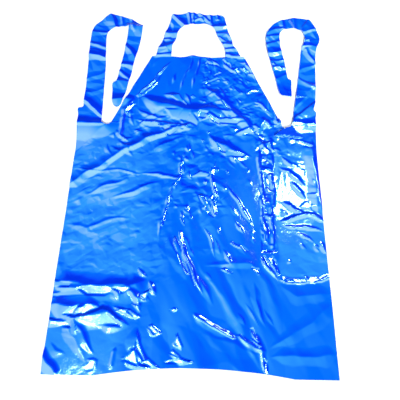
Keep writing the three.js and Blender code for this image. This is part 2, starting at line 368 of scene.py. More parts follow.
print(len(STRAP_CREASES), "creases across the straps")

# %% [markdown]
# ## Facets
# Crushed film is made of flat facets that meet along straight lines, like a cut stone. Random points
# are joined into triangles, each corner gets a random height, and the film is flat inside each
# triangle. Where the film was dragged one way, the triangles are drawn out long in that direction.

# %% Facets
CRUSH, DRAG_DOWN, DRAG_LEFT, FINE, BROAD = 0, 1, 2, 3, 4
FACETS = [
    # size mm, how much longer than wide, direction in degrees, height mm, softness mm
    (24.0, 1.5, -35.0, 5.0, 0.0),  # crushed
    (34.0, 5.0, -66.0, 5.4, 5.0),  # dragged down
    (34.0, 4.0, 17.0, 3.4, 6.0),  # dragged to the left side
    (11.0, 1.5, 20.0, 2.0, 0.0),  # finely crushed
    (64.0, 1.7, -58.0, 6.0, 0.0),  # broad
]
SPREAD = (-460.0, 480.0, -50.0, 1260.0)  # mm, the least and most x, and the least and most s
SCATTER = 0.42  # how far a point may lie off its square's middle, as a share of the square


def facet_field(size, stretch, direction, seed):
    """Triangles in a frame that is turned and shortened along the drag, with corner heights 0 to 1."""
    chance = np.random.default_rng(seed)
    turn = math.radians(direction)
    corners = np.array([(a, b) for a in SPREAD[:2] for b in SPREAD[2:]])
    cos, sin = math.cos(turn), math.sin(turn)
    across = np.array([[cos / stretch, sin / stretch], [-sin, cos]])
    ends = corners @ across.T
    low, high = ends.min(0) - size, ends.max(0) + size
    counts = np.ceil((high - low) / size).astype(int)
    grid = np.stack(np.meshgrid(np.arange(counts[0]), np.arange(counts[1])), -1).reshape(-1, 2)
    points = low + (grid + chance.uniform(-SCATTER, SCATTER, grid.shape)) * size
    heights = chance.uniform(0.0, 1.0, len(points))
    flat = [Vector(p) for p in points]
    found = delaunay_2d_cdt(flat, [], [], 0, 1e-6)
    origin = [source[0] for source in found[3]]
    return across, np.array([v[:] for v in found[0]]), heights[origin], np.array(found[2])


FIRST_SEED = 5
FIELDS = [facet_field(*row[:3], seed) for seed, row in enumerate(FACETS, FIRST_SEED)]
SOFTENED = [(-1.0, 1.0), (-0.5, 2.0), (0.0, 3.0), (0.5, 2.0), (1.0, 1.0)]  # step to one side, weight


def faceted(x, s, field):
    """The height of a facet field at each place."""
    across, points, heights, triangles = field
    place_at = np.stack((x.ravel(), s.ravel()), -1) @ across.T
    order = np.argsort(place_at[:, 1])
    ranked = place_at[order]
    out = np.zeros(len(ranked))
    low, high = ranked.min(0), ranked.max(0)
    for corners in triangles:
        a, b, c = points[corners]
        bottom, top = np.minimum(np.minimum(a, b), c), np.maximum(np.maximum(a, b), c)
        if (top < low).any() or (bottom > high).any():
            continue
        first, last = np.searchsorted(ranked[:, 1], (bottom[1], top[1]))
        p = ranked[first:last]
        area = (b[0] - a[0]) * (c[1] - a[1]) - (b[1] - a[1]) * (c[0] - a[0])
        v = ((p[:, 0] - a[0]) * (c[1] - a[1]) - (p[:, 1] - a[1]) * (c[0] - a[0])) / area
        w = ((b[0] - a[0]) * (p[:, 1] - a[1]) - (b[1] - a[1]) * (p[:, 0] - a[0])) / area
        inside = (v >= -1e-9) & (w >= -1e-9) & (v + w <= 1.0 + 1e-9)
        level_at = heights[corners[0]] * (1 - v - w) + heights[corners[1]] * v + heights[corners[2]] * w
        out[first:last][inside] = level_at[inside]
    back = np.empty_like(out)
    back[order] = out
    return back.reshape(x.shape)


def facet_height(x, s, kind):
    """The height in millimetres of one kind of facet, with its edges rounded over by its softness."""
    direction, height, soft = FACETS[kind][2:]
    if soft == 0.0:
        return height * faceted(x, s, FIELDS[kind])
    turn = math.radians(direction)
    total = np.zeros_like(x)
    for step, weight in SOFTENED:
        off_x, off_s = -soft * step * math.sin(turn), soft * step * math.cos(turn)
        total += weight * faceted(x + off_x, s + off_s, FIELDS[kind])
    return height * total / sum(weight for _, weight in SOFTENED)


print("facets:", [len(field[3]) for field in FIELDS])

# %% [markdown]
# How much of each kind of facet there is varies over the apron: finely crushed on the right of the bib,
# round the waist and at the lower left, dragged downwards in the middle, and dragged towards the
# left side across the left half. Each patch fades out over its own margin.

# %% Where the film is crushed
PATCHES = [
    # x from, to, s from, to, margin, kind, share
    # the right of the bib, and the waist
    (10, 230, 790, 1030, 30, CRUSH, 0.4),
    (10, 230, 790, 1030, 30, FINE, 1.0),
    (-250, 200, 695, 800, 26, CRUSH, 0.5),
    (-250, 200, 695, 800, 26, FINE, 0.6),
    # the middle of the skirt
    (-85, 95, 520, 700, 36, CRUSH, 0.5),
    (-85, 95, 430, 700, 36, FINE, 0.8),
    (-120, 60, 240, 430, 40, FINE, 0.2),
    # the packet's mark: its upright band, and the panels beside it
    (203, 246, 330, 700, 6, CRUSH, 0.8),
    (203, 246, 330, 700, 6, FINE, 0.8),
    (185, 300, 640, 800, 24, CRUSH, 0.7),
    (185, 300, 640, 800, 24, FINE, 0.6),
    (250, 420, 430, 720, 20, CRUSH, 0.22),
    (250, 420, 430, 720, 20, FINE, 0.25),
    (250, 420, 240, 430, 20, CRUSH, 0.2),
    (250, 420, 240, 430, 20, FINE, 0.12),
    # the lower left, the hem and the bib's foot
    (-300, -105, 120, 235, 30, CRUSH, 0.15),
    (-420, -105, -20, 130, 30, CRUSH, 0.08),
    (-420, -105, -20, 235, 30, FINE, 0.08),
    (-420, -105, -20, 235, 30, BROAD, 0.2),
    (-105, 120, -20, 120, 30, BROAD, 0.25),
    (-200, 200, 690, 870, 30, BROAD, 0.25),
    # the straps
    (-160, 160, 1014, 1220, 4, CRUSH, 0.8),
    (-410, -200, 746, 1210, 4, CRUSH, 0.35),
    (240, 450, 746, 1210, 4, CRUSH, 0.55),
    # where the film was dragged
    (-95, 240, -30, 330, 60, DRAG_DOWN, 1.0),
    (-95, 190, 330, 560, 40, DRAG_DOWN, 0.55),
    (205, 420, -30, 235, 40, DRAG_DOWN, 0.16),
    (-300, 20, 850, 1020, 50, DRAG_DOWN, 0.2),
    (90, 260, 480, 700, 40, DRAG_DOWN, 0.4),
    (-420, -80, 250, 690, 40, DRAG_LEFT, 0.7),
    (-420, -80, 250, 690, 40, FINE, 0.42),
    (-420, -80, 250, 690, 40, BROAD, 0.25),
]


def patch(x, s, x0, x1, s0, s1, margin):
    """1 inside a patch of the apron and 0 outside it, with a smooth step over its margin."""
    inside = np.minimum(np.minimum(x - x0, x1 - x), np.minimum(s - s0, s1 - s))
    return ramp(inside / margin + 0.5)


def share_of(kind, x, s):
    """How much of a kind of facet the film has at each place, from 0 to 1."""
    out = np.zeros_like(x)
    for *where, own, share in PATCHES:
        if own == kind:
            out = np.maximum(out, share * patch(x, s, *where))
    return out


print(len(PATCHES), "patches of facets")

# %% [markdown]
# ## Short creases
# Over the facets run short crisp creases from handling. They are too many to place one by one, so each
# patch says how many it has, how long and high they are, and which way they mostly run.

# %% Short creases, patch by patch
CREASED = [
    # x from, to, s from, to, count, length, height, width, direction and its spread in degrees
    (15, 205, 805, 1004, 40, (16, 46), (0.8, 2.0), (3, 6), -38, 60),
    (-190, 10, 850, 1004, 6, (40, 100), (0.3, 0.8), (4, 8), 62, 20),
    (-235, 185, 690, 800, 30, (20, 60), (0.8, 2.2), (4, 9), -8, 50),
    (-75, 85, 430, 690, 26, (14, 40), (0.8, 2.0), (3, 6), -66, 50),
    (85, 200, 430, 700, 7, (30, 80), (0.8, 1.6), (3, 6), -58, 16),
    (250, 392, 440, 725, 10, (20, 60), (0.6, 1.6), (4, 7), -42, 36),
    (205, 245, 340, 700, 10, (14, 36), (0.8, 2.0), (4, 6), -30, 60),
    (-30, 250, 60, 430, 12, (30, 90), (0.6, 1.5), (3, 6), -62, 12),
    (-396, -95, 270, 640, 22, (30, 100), (0.3, 0.8), (6, 14), 18, 30),
    (-396, -110, 12, 232, 7, (24, 70), (0.6, 1.4), (5, 10), -50, 24),
    (250, 394, 250, 430, 8, (16, 44), (0.6, 1.5), (4, 7), -35, 40),
    (-288, -205, 640, 800, 16, (20, 60), (0.7, 1.9), (4, 8), -55, 40),
    (185, 292, 640, 800, 16, (20, 60), (0.8, 2.0), (4, 8), 30, 60),
]
SHORT_SEED = 11
KINK = 0.14  # how far a short crease bends at its middle, as a share of its half length
NEAR_IS_WIDER = (1.5, 3.5)  # a short crease's near flank against the width in its patch
SHORT_FADE = 0.5


def short_creases():
    """Every short crease as a row that crease() takes."""
    chance = np.random.default_rng(SHORT_SEED)
    rows = []
    for x0, x1, s0, s1, count, length, height, width, direction, spread in CREASED:
        for _ in range(count):
            middle = np.array([chance.uniform(x0, x1), chance.uniform(s0, s1)])
            turn = math.radians(direction + chance.normal(0.0, 0.5) * spread)
            half = 0.5 * chance.uniform(*length) * np.array([math.cos(turn), math.sin(turn)])
            if turn < -math.pi / 2:
                half = -half
            kink = KINK * chance.uniform(-1.0, 1.0) * np.array([-half[1], half[0]])
            points = [tuple(middle - half), tuple(middle + kink), tuple(middle + half)]
            far, near = chance.uniform(*width), chance.uniform(*NEAR_IS_WIDER) * chance.uniform(*width)
            rows.append((points, chance.uniform(*height), far, near, SHORT_FADE))
    return rows


SHORT = short_creases()
print(len(SHORT), "short creases")

# %% [markdown]
# ## Plates
# Between crossing creases the film is pulled tight into small flat plates, which flash white all over
# at once. Each is a convex outline, given anticlockwise, with its height. A plate flashes only where
# it mirrors a lamp to the eye, so the plates that flash are turned by that rule: the plate's normal
# lies half way between the lamp and the camera. The paler ones, which don't, have slopes of their own,
# mostly facing the hem, where the film is painted paler.

# %% Plates
WINDOW = (0.78, 0.44, 1.6)  # metres, where the two small lamps hang
GLINT = (-0.8, -1.15, 1.6)
PLATE_EDGE = 2.0  # mm over which the film bends into a small plate
PLATE_EDGE_SHARE = 0.9  # a large plate takes longer: this much of its area over its outline's length
PLATES = [
    # corners, height, and the lamp that it mirrors, or its own slopes to the right and up the film
    # along the hem
    ([(-184, 31), (-140, 15), (-150, 60), (-162, 57)], 4.5, GLINT),
    ([(-152, 62), (-128, 30), (-112, 36), (-138, 70), (-148, 98)], 4.5, GLINT),
    ([(-130, 22), (-108, 14), (-84, 13), (-114, 36)], 3.5, GLINT),
    ([(-120, 118), (-104, 96), (-84, 101), (-110, 122)], 4.0, GLINT),
    ([(-46, 74), (-26, 58), (-23, 68), (-38, 98)], 4.0, GLINT),
    ([(-58, 52), (-32, 37), (-29, 44), (-50, 59)], 3.5, GLINT),
    ([(-68, 27), (-26, 23), (4, 30), (-30, 38)], 3.5, GLINT),
    ([(-64, 160), (-48, 157), (-40, 164), (-52, 167)], 4.0, GLINT),
    # the star at the lower left
    ([(-216, 155), (-182, 152), (-178, 161), (-200, 163)], 6.0, GLINT),
    ([(-184, 158), (-156, 135), (-144, 143), (-174, 161)], 5.5, GLINT),
    ([(-150, 198), (-134, 186), (-122, 214), (-138, 207)], 5.5, GLINT),
    ([(-124, 222), (-118, 203), (-103, 200)], 5.0, GLINT),
    ([(-232, 218), (-198, 204), (-176, 216), (-180, 224)], 7.0, GLINT),
    ([(-180, 178), (-150, 158), (-142, 151), (-152, 172)], 4.5, GLINT),
    # across the waist
    ([(-104, 800), (-84, 770), (-68, 766), (-42, 799)], 6.8, (0.0, 0.2)),
    ([(-68, 764), (-34, 758), (-20, 794), (-46, 799)], 6.8, (0.02, 0.2)),
    ([(-31, 756), (0, 741), (5, 760), (-18, 792)], 5.8, (0.05, 0.2)),
    ([(6, 772), (28, 770), (36, 791), (8, 796)], 6.2, (-0.04, 0.2)),
    ([(52, 763), (70, 752), (136, 750), (144, 762), (100, 773)], 4.8, (-0.02, 0.24)),
    ([(28, 782), (56, 758), (76, 750), (58, 770), (36, 785)], 5.6, WINDOW),
    ([(-98, 853), (-70, 838), (-32, 811), (-62, 860)], 4.6, (-0.1, 0.2)),
    ([(-22, 852), (-14, 840), (-3, 850), (-16, 859)], 4.0, (-0.05, 0.2)),
    # beside the left slot
    ([(-240, 796), (-228, 788), (-208, 816), (-214, 823)], 4.6, WINDOW),
    ([(-239, 788), (-228, 766), (-222, 768), (-230, 788)], 4.0, WINDOW),
    ([(-128, 742), (-104, 722), (-86, 732), (-100, 739)], 5.0, (-0.1, 0.28)),
    ([(-98, 708), (-86, 705), (-42, 736), (-64, 739)], 4.6, (0.06, 0.2)),
    # the peak beside the right slot, and the hollow to its left
    ([(200, 714), (206, 713), (227, 750), (223, 761)], 5.0, WINDOW),
    ([(226, 763), (225, 751), (240, 736), (249, 738)], 5.0, WINDOW),
    ([(54, 690), (84, 648), (98, 646), (70, 678)], 5.0, (-0.16, 0.16)),
    ([(84, 646), (98, 634), (150, 632), (160, 640), (110, 652)], 4.4, (-0.04, 0.22)),
    ([(176, 736), (192, 722), (198, 726), (182, 741)], 4.6, WINDOW),
    ([(36, 718), (41, 711), (48, 713), (46, 721)], 4.0, WINDOW),
    ([(18, 690), (22, 681), (28, 682), (24, 691)], 4.0, WINDOW),
    # the bib
    ([(168, 870), (174, 866), (204, 881), (200, 888)], 4.0, WINDOW),
    ([(-208, 852), (-196, 842), (-182, 852), (-196, 862)], 4.0, (-0.3, 0.3)),
    ([(22, 984), (30, 984), (38, 1000), (32, 1001)], 3.4, (-0.2, 0.3)),
    ([(38, 988), (56, 980), (64, 984), (44, 996)], 3.4, (-0.2, 0.3)),
    ([(50, 936), (58, 936), (84, 948), (66, 949)], 3.2, (-0.1, 0.3)),
    ([(36, 916), (44, 910), (76, 924), (68, 932)], 3.4, (-0.1, 0.26)),
    ([(86, 1004), (96, 992), (116, 972), (112, 988), (92, 1010)], 3.6, (-0.2, 0.28)),
    ([(126, 962), (142, 944), (147, 954), (136, 974)], 3.4, (-0.2, 0.28)),
    ([(154, 966), (172, 940), (178, 956), (160, 976)], 3.6, (-0.2, 0.26)),
    ([(62, 858), (104, 806), (116, 804), (84, 838)], 5.6, (-0.16, 0.2)),
    # the packet's upright band
    ([(212, 653), (223, 646), (233, 642), (234, 660), (212, 664)], 3.6, WINDOW),
    ([(203, 584), (226, 574), (244, 576), (240, 588), (222, 592)], 4.6, WINDOW),
    ([(220, 543), (238, 535), (228, 562), (221, 561)], 3.6, WINDOW),
    ([(222, 529), (223, 515), (242, 510), (238, 521), (230, 530)], 3.6, WINDOW),
    ([(208, 500), (209, 478), (219, 466), (220, 474), (212, 500)], 4.6, WINDOW),
    # the packet's panel on the right
    ([(302, 690), (314, 680), (330, 684), (322, 699), (306, 699)], 3.4, WINDOW),
    ([(326, 684), (374, 669), (376, 675), (336, 695)], 3.6, WINDOW),
    ([(326, 616), (346, 610), (350, 622), (334, 623)], 3.4, WINDOW),
    ([(322, 586), (346, 562), (349, 592), (328, 597)], 3.2, WINDOW),
    ([(316, 492), (318, 470), (360, 459), (354, 500), (342, 488)], 3.2, WINDOW),
    ([(262, 484), (273, 480), (274, 584), (266, 580), (261, 540)], 3.0, WINDOW),
    ([(286, 520), (300, 500), (302, 560), (296, 584), (284, 584)], 3.0, WINDOW),
    # the broad pale ones at the lower left
    ([(-300, 198), (-250, 198), (-232, 205), (-228, 221), (-290, 226), (-326, 214)], 5.2, (0.02, 0.27)),
    ([(-398, 190), (-302, 198), (-328, 213), (-398, 201)], 4.4, (0.03, 0.2)),
    ([(-396, 219), (-352, 220), (-346, 230), (-396, 236)], 6.0, (0.0, 0.18)),
    ([(-312, 136), (-262, 120), (-198, 117), (-204, 126), (-244, 157)], 6.0, (-0.04, 0.18)),
    ([(-318, 146), (-302, 144), (-263, 166), (-266, 172), (-300, 173)], 4.6, GLINT),
    ([(-362, 145), (-334, 142), (-316, 172), (-322, 173)], 5.0, GLINT),
    ([(-396, 112), (-336, 112), (-338, 126), (-396, 132)], 4.6, (-0.06, 0.16)),
    ([(-287, 14), (-278, 2), (-262, 6), (-251, 28), (-264, 33)], 3.6, GLINT),
    # the middle of the skirt
    ([(-43, 427), (-35, 411), (-28, 404), (-30, 420), (-38, 431)], 4.2, WINDOW),
    ([(45, 576), (58, 565), (65, 582), (50, 592)], 4.4, WINDOW),
    ([(43, 488), (58, 484), (61, 500), (54, 507)], 4.4, WINDOW),
    ([(53, 470), (60, 436), (67, 438), (68, 467)], 4.4, WINDOW),
    ([(147, 462), (168, 420), (174, 424), (158, 457)], 4.0, WINDOW),
    ([(98, 584), (104, 566), (108, 568), (103, 586)], 3.6, WINDOW),
    ([(163, 582), (167, 577), (172, 588), (168, 591)], 3.6, WINDOW),
    ([(110, 355), (120, 350), (124, 354), (114, 358)], 3.4, WINDOW),
    ([(140, 342), (160, 329), (163, 331), (146, 345)], 3.4, WINDOW),
    ([(82, 276), (108, 265), (117, 267), (94, 281)], 3.6, WINDOW),
    ([(170, 284), (190, 264), (196, 262), (192, 280)], 4.0, WINDOW),
    ([(222, 313), (230, 301), (239, 304), (235, 317)], 4.4, WINDOW),
    ([(-48, 610), (-42, 602), (-38, 606), (-42, 616)], 4.0, WINDOW),
    ([(-42, 634), (-36, 628), (-32, 640), (-38, 642)], 4.0, WINDOW),
    ([(-16, 561), (40, 567), (45, 574), (16, 581)], 4.0, (0.0, 0.24)),
    ([(12, 500), (46, 440), (58, 434), (44, 468), (24, 502)], 3.6, (-0.1, 0.14)),
    ([(-60, 352), (-26, 276), (-12, 262), (-42, 342), (-56, 368)], 4.0, (-0.14, 0.14)),
    # along the long creases
    ([(6, 148), (58, 118), (64, 124), (14, 148)], 5.0, WINDOW),
    ([(58, 119), (114, 90), (126, 90), (66, 124)], 5.0, WINDOW),
    ([(163, 117), (186, 72), (192, 72), (171, 118)], 4.6, WINDOW),
    ([(165, 88), (184, 75), (187, 82), (170, 92)], 4.2, WINDOW),
    ([(197, 42), (199, 8), (209, 6), (206, 34)], 4.2, WINDOW),
    ([(130, 99), (148, 82), (154, 84), (137, 102)], 4.2, WINDOW),
    ([(-44, 384), (-40, 352), (-26, 338), (-36, 390)], 5.2, WINDOW),
    ([(-22, 330), (-2, 264), (4, 262), (-16, 326)], 5.0, WINDOW),
    ([(-86, 462), (-100, 404), (-95, 402), (-79, 470)], 3.6, WINDOW),
    ([(-80, 498), (-86, 464), (-79, 470), (-74, 500)], 3.6, WINDOW),
    ([(204, 318), (226, 272), (232, 272), (212, 318)], 4.6, WINDOW),
    ([(236, 308), (248, 264), (254, 262), (242, 306)], 4.4, WINDOW),
    ([(208, 470), (212, 360), (217, 360), (214, 470)], 4.6, WINDOW),
    ([(240, 470), (236, 400), (240, 400), (245, 470)], 4.2, WINDOW),
    ([(266, 246), (290, 240), (296, 247), (270, 252)], 4.4, WINDOW),
    ([(310, 250), (352, 242), (366, 250), (340, 256)], 4.4, WINDOW),
    # the corner under the left root
    ([(-398, 636), (-304, 736), (-398, 736)], 3.4, (0.01, 0.13)),
]


def slopes_to_mirror(lamp_at, x, s, z):
    """The slopes, to the right and up the film, at which flat film shows a lamp to the camera."""
    here = place(x, s, z)
    half_way = (Vector(lamp_at) - here).normalized() + (EYE - here).normalized()
    return -half_way.x / half_way.z, -half_way.y / half_way.z


def plated(x, s, z, corners, height, turned):
    """The relief with one plate pressed into it, turned to a lamp's place or to two slopes."""
    points = np.array(corners, float)
    middle_x, middle_s = points.mean(0)
    right, up = slopes_to_mirror(turned, middle_x, middle_s, height) if len(turned) == 3 else turned
    inside = np.full_like(x, 1e9)
    around = area = 0.0
    for (a_x, a_s), (b_x, b_s) in zip(points, np.roll(points, -1, 0)):
        side = math.hypot(b_x - a_x, b_s - a_s)
        around += side
        area += 0.5 * (a_x * b_s - b_x * a_s)
        inside = np.minimum(inside, ((b_x - a_x) * (s - a_s) - (b_s - a_s) * (x - a_x)) / side)
    edge = max(PLATE_EDGE, PLATE_EDGE_SHARE * area / around)
    plane = height + right * (x - middle_x) + up * (s - middle_s)
    return z + ramp(inside / edge + 0.5) * (plane - z)


print(len(PLATES), "plates")

# %% [markdown]
# The whole relief is the long slow swell of film that was rolled, plus every crease. Where creases
# pile up, the film slumps, so the height is eased off above 8.5 mm and never passes 11.4 mm.

# %% The relief of the film
LIES_AT = 1.8  # mm, how high the film lies on average between its creases
TOUCHES = 0.3  # mm, where it rests on the table
EASE_FROM = 8.5  # mm, where piled creases start to slump
EASE_OVER = 2.9  # mm, the most by which the film can pass that height
# each wave's turn in radians for each mm across and up, where it starts, and its size in mm
BENDS = [(0.031, 0.044, 0.3, 3.2), (-0.075, 0.052, 2.2, 1.5), (0.11, 0.142, 4.0, 0.7)]
SWELLS = [(0.021, 0.008, 0.4, 0.45), (-0.012, 0.026, 1.9, 0.4), (0.034, -0.019, 3.1, 0.22)]


def bent(x, s):
    """Moves each place a few millimetres, so that no crease and no facet's edge is dead straight."""
    dx = np.zeros_like(x)
    ds = np.zeros_like(x)
    for along_x, along_s, phase, size in BENDS:
        dx += size * np.sin(along_x * x + along_s * s + phase)
        ds += size * np.cos(along_s * x - along_x * s + 1.7 * phase)
    return x + dx, s + ds


def relief(x, s):
    """The height of the film off the table, in millimetres."""
    z = np.full_like(x, LIES_AT)
    for along_x, along_s, phase, size in SWELLS:
        z += size * (1.0 + np.sin(along_x * x + along_s * s + phase))
    bent_x, bent_s = bent(x, s)
    for kind in range(len(FACETS)):
        share = share_of(kind, x, s)
        if share.any():
            z += share * (facet_height(bent_x, bent_s, kind) - 0.5 * FACETS[kind][3])
    for row in SKIRT_CREASES + BIB_CREASES + STRAP_CREASES + SHORT:
        z += crease(bent_x, bent_s, *row)
    for row in PLATES:
        z = plated(x, s, z, *row)
    z = np.maximum(z, TOUCHES)
    high = np.clip(z - EASE_FROM, 0.0, None)
    return np.minimum(z, EASE_FROM) + EASE_OVER * np.tanh(high / EASE_OVER)


print("height at the skirt's middle, mm:", relief(np.zeros(1), np.full(1, 400.0)).round(2).tolist())

# %% [markdown]
# ## Cutting the film
# Every region is a grid of quads that follows its own cut edges, so the edge is a clean curve and not a
# staircase. The skirt and the bib are sliced across from side to side. A strap is laid between its two
# edges, station by station, as a pattern cutter would mark it.

# %% Grids
HEM_FOLD = 230.0
WAIST = 745.0
BIB_TOP = 1014.0
SLOT_X, SLOT_S, SLOT_R = 298.5, 755.5, 17.5
HEM_BOW, HEM_BOW_FROM, HEM_BOW_TO = 22.0, -260.0, 280.0
SKIRT_SIDE = [(HEM_CORNER, 400.0), (HEM_FOLD, 397.0), (440.0, 393.0), (650.0, 391.0), (WAIST, 395.0)]
BIB_HALF_AT_SLOT, BIB_HALF_AT_TOP = 281.0, 165.0
NECK_FOOT, NECK_FOOT_RUN = 96.0, 10.0  # where the bib's top edge meets the neck loop, and eases into it
TOP_WAVES = [(6.0, -18.0, 17.0), (-3.5, -62.0, 18.0), (-2.5, 48.0, 24.0)]  # height, x, half width
SKIRT_CELL, HEM_CELL, BIB_CELL, STRAP_CELL = 3.0, 2.8, 2.6, 2.4  # mm, about the size of one quad


def sliced(bottom, top, side, cell):
    """x and s over a region that is cut across, from its lower and upper edge and its half width."""
    low, high = float(bottom(np.zeros(1))[0]), float(top(np.zeros(1))[0])
    rows = int((high - low) / cell)
    columns = int(2.0 * max(side(low), side(high)) / cell)
    u, v = np.meshgrid(np.linspace(-1.0, 1.0, columns + 1), np.linspace(0.0, 1.0, rows + 1))
    half = np.array([[side(low + t * (high - low))] for t in v[:, 0]])
    x = u * half
    return x, bottom(x) + v * (top(x) - bottom(x))


def smooth_edge(points, counts):
    """A curve through the points, by Catmull and Rom's rule, with counts[i] steps after point i."""
    p = np.array(points, float)
    p = np.vstack((2 * p[0] - p[1], p, 2 * p[-1] - p[-2]))
    out = []
    for i, count in enumerate(counts):
        a, b, c, d = p[i : i + 4]
        knots = np.cumsum([0.0] + [max(np.linalg.norm(q), 1e-3) ** 0.5 for q in (b - a, c - b, d - c)])
        for t in np.linspace(knots[1], knots[2], count, endpoint=False):
            def mix(m, n, lo, hi):
                return ((knots[hi] - t) * m + (t - knots[lo]) * n) / (knots[hi] - knots[lo])
            ab, bc, cd = mix(a, b, 0, 1), mix(b, c, 1, 2), mix(c, d, 2, 3)
            out.append(mix(mix(ab, bc, 0, 2), mix(bc, cd, 1, 3), 1, 2))
    out.append(p[-2])
    return np.array(out)


def strapped(stations, cell=STRAP_CELL):
    """x and s over a strap, from its inner edge to its outer one, along its stations."""
    inner = np.array([a for a, b in stations], float)
    outer = np.array([b for a, b in stations], float)
    run = np.maximum(np.hypot(*(inner[1:] - inner[:-1]).T), np.hypot(*(outer[1:] - outer[:-1]).T))
    counts = np.maximum(1, np.round(run / cell)).astype(int)
    first, last = smooth_edge(inner, counts), smooth_edge(outer, counts)
    across = int(np.median(np.hypot(*(outer - inner).T)) / cell)
    t = np.linspace(0.0, 1.0, across + 1)[None, :]
    return (first[:, :1] * (1 - t) + last[:, :1] * t, first[:, 1:] * (1 - t) + last[:, 1:] * t)


def hem(x):
    """The hem bows up between its corners."""
    middle = np.clip((x - HEM_BOW_FROM) / (HEM_BOW_TO - HEM_BOW_FROM), 0.0, 1.0)
    return HEM_CORNER + 4.0 * HEM_BOW * middle * (1.0 - middle)


def level(height):
    """A straight edge across the apron."""
    return lambda x: np.full_like(x, height)


def waist(x):
    """The waist fold dips round the two slots' round ends."""
    away = np.abs(x) - SLOT_X
    depth = np.sqrt(np.clip(SLOT_R**2 - away**2, 0.0, None)) - (SLOT_S - WAIST)
    return WAIST - np.clip(depth, 0.0, None)


def bib_top(x):
    """The bib's top edge waves a little between the neck loop's feet."""
    wave = sum(height * np.exp(-(((x - at) / width) ** 2)) for height, at, width in TOP_WAVES)
    return BIB_TOP + wave * ramp((NECK_FOOT - np.abs(x)) / NECK_FOOT_RUN)


def skirt_side(s):
    """Half the skirt's width."""
    return float(np.interp(s, *zip(*SKIRT_SIDE)))


def bib_side(s):
    """Half the bib's width. Its foot meets the slots' round ends."""
    foot = SLOT_X - math.sqrt(SLOT_R**2 - (SLOT_S - WAIST) ** 2)
    return float(np.interp(s, [WAIST, SLOT_S, BIB_TOP], [foot, BIB_HALF_AT_SLOT, BIB_HALF_AT_TOP]))


print("the bib's width at its foot and top, mm:", round(2 * bib_side(WAIST)), round(2 * bib_side(BIB_TOP)))

# %% [markdown]
# The stations of the straps: each is a point on the inner edge and its partner on the outer edge. The
# little square steps at the shoulder and near each tie's end are where the cutting die changes lines.

# %% Stations of the ties and of the neck loop
LEFT_TIE = [
    ((-312.5, 745), (-395, 745)), ((-315.5, 752), (-397.5, 776)), ((-316, 757), (-400, 799)),
    ((-316, 762), (-385, 804)), ((-316.5, 775), (-384, 824)), ((-318, 815), (-384, 850)),
    ((-320, 870), (-384.5, 890)), ((-323, 950), (-386, 960)), ((-328, 1020), (-388, 1030)),
    ((-333, 1085), (-389, 1100)), ((-331, 1108), (-382, 1139)), ((-321, 1125), (-360, 1163)),
    ((-304, 1134), (-325, 1194)), ((-283, 1138), (-285, 1185)), ((-268, 1138), (-247, 1172)),
    ((-256, 1143), (-204, 1143)),
]
LEFT_END = [
    ((-256, 1143), (-204, 1143)), ((-259, 1090), (-210, 1075)), ((-263, 1040), (-217, 1030)),
    ((-270, 980), (-225, 985)), ((-278, 925), (-232, 935)), ((-281, 906), (-236, 912)),
    ((-292.5, 897), (-239, 895)), ((-291, 870), (-244, 868)), ((-288, 835), (-251, 838)),
    ((-285, 818), (-257, 818)), ((-278, 809), (-263, 809)), ((-271, 806), (-269, 806)),
]
RIGHT_TIE = [
    ((312.5, 745), (395, 745)), ((317, 753), (397.5, 776)), ((319, 760), (400, 799)),
    ((319.5, 764), (393, 808)), ((321, 772), (397, 824)), ((324, 790), (402, 843)),
    ((333, 840), (407, 890)), ((347, 920), (411, 945)), ((360, 1000), (416, 1010)),
    ((370, 1060), (423, 1060)), ((380, 1088), (435, 1088)), ((384, 1104), (438, 1106)),
    ((381, 1124), (430, 1138)), ((376, 1132), (418, 1168)), ((371, 1138), (402, 1187)),
    ((345, 1147), (345, 1193)), ((310, 1140), (283, 1172)), ((296, 1126), (250, 1130)),
    ((292, 1106), (243, 1106)),
]
RIGHT_END = [
    ((292, 1106), (243, 1106)), ((293, 1076), (243, 1076)), ((297, 1042), (248, 1038)),
    ((305, 1005), (256, 1000)), ((309, 968), (264, 960)), ((315, 932), (273, 915)),
    ((324, 926), (274, 905)), ((323, 890), (279, 880)), ((322, 866), (284, 864)),
    ((321, 855), (290, 860)),
]
NECK_LOOP = [
    ((-96, 1014), (-150, 1014)), ((-95, 1035), (-146, 1035)), ((-94, 1055), (-142, 1050)),
    ((-83, 1085), (-131, 1075)), ((-76, 1118), (-122, 1110)), ((-67, 1138), (-104, 1172)),
    ((-58, 1144), (-99, 1193)), ((-50, 1149), (-72, 1199)), ((-26, 1157), (-34, 1209)),
    ((0, 1159), (0, 1206)), ((22, 1162), (40, 1200)), ((42, 1151), (88, 1197)),
    ((57, 1136), (100, 1156)), ((66, 1110), (110, 1116)), ((80, 1080), (121, 1087)),
    ((88, 1065), (123, 1068)), ((92, 1056), (138, 1046)), ((96, 1035), (146, 1028)),
    ((96, 1014), (150, 1014)),
]
print("stations:", [len(line) for line in (LEFT_TIE, LEFT_END, RIGHT_TIE, RIGHT_END, NECK_LOOP)])

# %% [markdown]
# ## The film's finish
# Glossy polythene-like film: a strong blue, nearly mirror smooth, with a faint haircell grain from its
# roller. Real see-through film would be slow and noisy to render, so each vertex carries painted light
# and shade instead, worked out below from the film's slope and height, and patch by patch: the film is
# painted paler where it turns to the hem or the left, and deeper where it turns away or stands high. The
# colour runs from deep blue painted shade through the film's own azure to pale blue painted light.

# %% Film material
TONES_WITH_PAINTED_LIGHT = [
    # tone, colour: painted shade at the bottom, the film's own azure, painted light at the top
    (0.0, (0.0, 0.03, 0.72, 1.0)),
    (0.44, (0.0, 0.112, 0.9, 1.0)),
    (0.72, (0.02, 0.225, 0.97, 1.0)),
    (1.0, (0.2, 0.41, 1.0, 1.0)),
]
REFLECTION = (0.42, 0.84, 1.0, 1.0)  # the film tints what it mirrors
GRAIN_SCALE, BUCKLE_SCALE = 420.0, 70.0  # how many there are in about a metre
ROUGHNESS = (0.08, 0.16)


